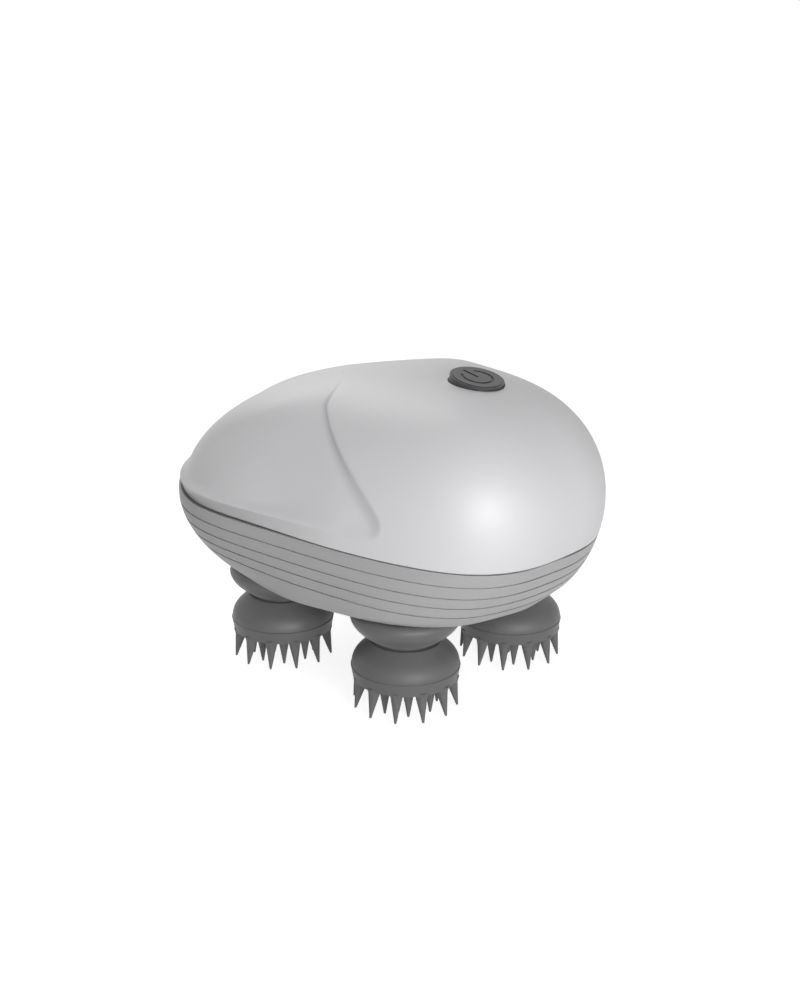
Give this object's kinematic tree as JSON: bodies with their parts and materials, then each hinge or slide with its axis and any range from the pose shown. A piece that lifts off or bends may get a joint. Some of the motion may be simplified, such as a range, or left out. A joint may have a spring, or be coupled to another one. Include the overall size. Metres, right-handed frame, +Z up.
{
  "type": "electric scalp massager",
  "caption": "Handheld electric scalp massager: smooth rounded light housing with grip recesses and a top power button, ribbed grey belly, turning heads of soft pointed nodes underneath.",
  "frame": {"origin": "centre of the bounding box's bottom, on the surface that the head tips stand on", "axes": "+X along the housing towards the tail with the power button, +Y across it to the left, +Z up"},
  "size_m": [0.1254, 0.1016, 0.0895],
  "materials": {
    "shell_white": "satin pearl",
    "shell_grey": "fine ribbed satin",
    "silicone_seal": "matt",
    "steel": "machined",
    "inner_plastic": "moulded",
    "battery_wrap": "shrink film",
    "board_green": "lacquered",
    "bronze": "sintered",
    "gear_plastic": "natural acetal",
    "silicone_grey": "matt silicone",
    "hub_grey": "matt",
    "button_grey": "soft touch"
  },
  "bodies": {
    "housing": {"top_shell": "shell_white", "lower_shell": "shell_grey", "seam_gasket": "silicone_seal", "shell_screws": "steel", "chassis_plate": "inner_plastic", "chassis_screws": "steel", "motor_gearbox": "inner_plastic", "motor_can": "steel", "motor_cap": "inner_plastic", "motor_screws": "steel", "battery_cell": "battery_wrap", "battery_cradle": "inner_plastic", "main_board": "board_green", "board_screws": "steel", "control_chip": "inner_plastic", "board_capacitors": "steel", "charge_socket": "inner_plastic", "switch_board": "board_green", "switch_screws": "steel", "tact_switch": "inner_plastic", "lower_bush_tail_right": "bronze", "shaft_seal_tail_right": "silicone_seal", "upper_bush_tail_right": "bronze", "lower_bush_tail_left": "bronze", "shaft_seal_tail_left": "silicone_seal", "upper_bush_tail_left": "bronze", "lower_bush_nose_right": "bronze", "shaft_seal_nose_right": "silicone_seal", "upper_bush_nose_right": "bronze", "lower_bush_nose_left": "bronze", "shaft_seal_nose_left": "silicone_seal", "upper_bush_nose_left": "bronze"},
    "drive": {"drive_gear": "gear_plastic", "output_shaft": "steel"},
    "head_tail_right": {"cup_tail_right": "silicone_grey", "hub_tail_right": "hub_grey", "shaft_tail_right": "steel", "gear_tail_right": "gear_plastic", "clip_tail_right": "steel"},
    "head_tail_left": {"cup_tail_left": "silicone_grey", "hub_tail_left": "hub_grey", "shaft_tail_left": "steel", "gear_tail_left": "gear_plastic", "clip_tail_left": "steel"},
    "head_nose_right": {"cup_nose_right": "silicone_grey", "hub_nose_right": "hub_grey", "shaft_nose_right": "steel", "gear_nose_right": "gear_plastic", "clip_nose_right": "steel"},
    "head_nose_left": {"cup_nose_left": "silicone_grey", "hub_nose_left": "hub_grey", "shaft_nose_left": "steel", "gear_nose_left": "gear_plastic", "clip_nose_left": "steel"},
    "button": {"button_cap": "button_grey", "button_rim": "button_grey", "switch_plunger": "gear_plastic"},
    "plug": {"charge_plug": "silicone_seal"}
  },
  "joints": [
    {"name": "drive_spin", "type": "hinge", "parent": "housing", "child": "drive", "pos_m": [0.00185, 0, 0.0405], "axis": [0, 0, 1], "continuous": true},
    {"name": "tail_right_spin", "type": "hinge", "parent": "housing", "child": "head_tail_right", "pos_m": [0.02635, -0.02255, 0.02], "axis": [0, 0, 1], "continuous": true},
    {"name": "tail_left_spin", "type": "hinge", "parent": "housing", "child": "head_tail_left", "pos_m": [0.02635, 0.02255, 0.02], "axis": [0, 0, 1], "continuous": true},
    {"name": "nose_right_spin", "type": "hinge", "parent": "housing", "child": "head_nose_right", "pos_m": [-0.02265, -0.02255, 0.02], "axis": [0, 0, 1], "continuous": true},
    {"name": "nose_left_spin", "type": "hinge", "parent": "housing", "child": "head_nose_left", "pos_m": [-0.02265, 0.02255, 0.02], "axis": [0, 0, 1], "continuous": true},
    {"name": "button_press", "type": "slide", "parent": "housing", "child": "button", "axis": [-0.2079, 0, -0.9781], "range_m": [0, 0.0008], "stiffness_N_per_m": 1800, "springref_m": -0.0003},
    {"name": "plug_pull", "type": "slide", "parent": "housing", "child": "plug", "axis": [-1, 0, 0], "range_m": [0, 0.012]}
  ],
  "couplings": [
    {"joint": "tail_right_spin", "follows": "drive_spin", "ratio": -3.1111},
    {"joint": "tail_left_spin", "follows": "drive_spin", "ratio": -3.1111},
    {"joint": "nose_right_spin", "follows": "drive_spin", "ratio": -3.1111},
    {"joint": "nose_left_spin", "follows": "drive_spin", "ratio": -3.1111}
  ]
}
